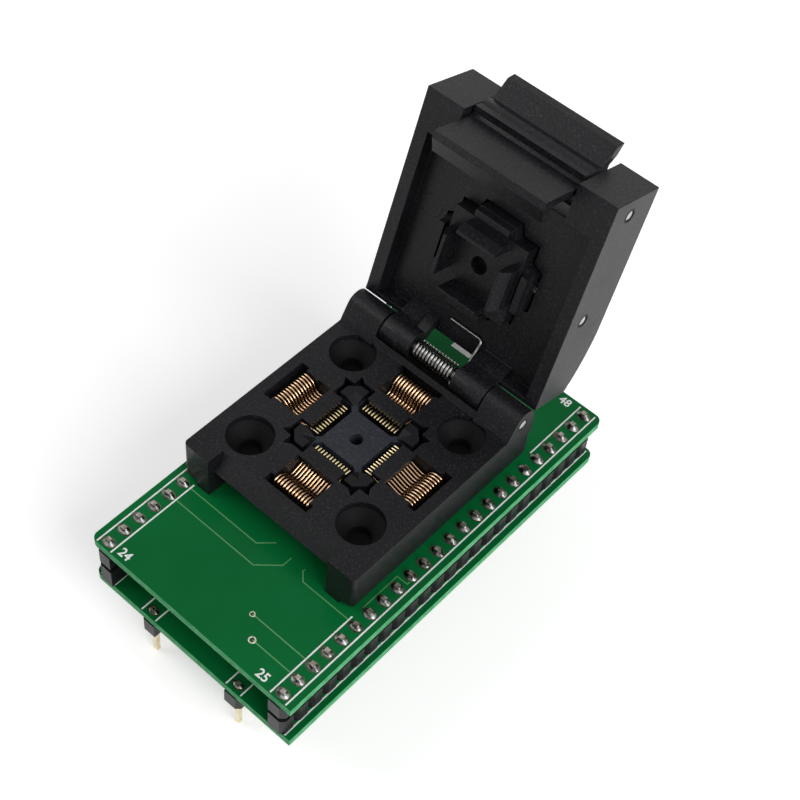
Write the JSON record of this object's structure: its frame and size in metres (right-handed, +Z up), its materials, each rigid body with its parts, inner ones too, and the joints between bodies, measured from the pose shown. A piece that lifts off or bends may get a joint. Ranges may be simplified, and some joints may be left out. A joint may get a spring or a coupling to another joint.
{
  "type": "ic test socket adapter",
  "caption": "Clamshell test socket for a square flat-pack chip, hinged lid with latch and rocking pusher, carried on two stacked green boards with dual in-line pins below.",
  "frame": {"origin": "centre of the dual in-line pin field, in the seating plane, which is the underside of the lower header strips", "axes": "+Z up, +Y from the open front of the boards towards the hinge, +X to the right; the lid is drawn open"},
  "size_m": [0.035, 0.0674, 0.0583],
  "materials": {
    "board_green": "glossy green solder mask over glass-fibre laminate",
    "header_black": "moulded black insulator, satin",
    "pin_plating": "pale gold plating on square brass pins",
    "contact_plating": "rose-gold plated spring alloy",
    "pin_steel": "ground steel pin",
    "spring_steel": "bright drawn spring wire",
    "housing_black": "fine-grained moulded black engineering plastic",
    "seat_black": "moulded black insert, slightly greyer than the base",
    "pusher_black": "moulded black, fine grained"
  },
  "bodies": {
    "base": {"lower_board": "board_green", "upper_board": "board_green", "dip_header_left": "header_black", "dip_header_right": "header_black", "lower_header_left": "header_black", "lower_header_right": "header_black", "upper_header_left": "header_black", "upper_header_right": "header_black", "dip_pins_left": "pin_plating", "dip_pins_right": "pin_plating", "link_pins_left": "pin_plating", "link_pins_right": "pin_plating", "socket_base": "housing_black", "chip_seat": "seat_black", "contacts_front": "contact_plating", "contacts_back": "contact_plating", "contacts_left": "contact_plating", "contacts_right": "contact_plating", "hinge_pin": "pin_steel", "hinge_spring": "spring_steel"},
    "lid": {"lid": "housing_black", "latch_pin": "pin_steel", "pusher_pin": "pin_steel", "latch_spring": "spring_steel"},
    "latch": {"latch_lever": "housing_black"},
    "pusher": {"pusher": "pusher_black"}
  },
  "joints": [
    {"name": "lid_hinge", "type": "hinge", "parent": "base", "child": "lid", "pos_m": [-0.00117, 0.01638, 0.02004], "axis": [1, 0, 0], "range_deg": [0, 110], "stiffness_Nm_per_rad": 0.008, "springref_deg": -28.65, "deforming": ["hinge_spring"]},
    {"name": "latch_pivot", "type": "hinge", "parent": "lid", "child": "latch", "pos_m": [-0.00117, 0.03081, 0.04813], "axis": [1, 0, 0], "range_deg": [-14, 0], "stiffness_Nm_per_rad": 0.01, "springref_deg": 22.92, "deforming": ["latch_spring"]},
    {"name": "pusher_rock", "type": "hinge", "parent": "lid", "child": "pusher", "pos_m": [-0.00117, 0.02552, 0.03321], "axis": [1, 0, 0], "range_deg": [-4, 0]}
  ]
}
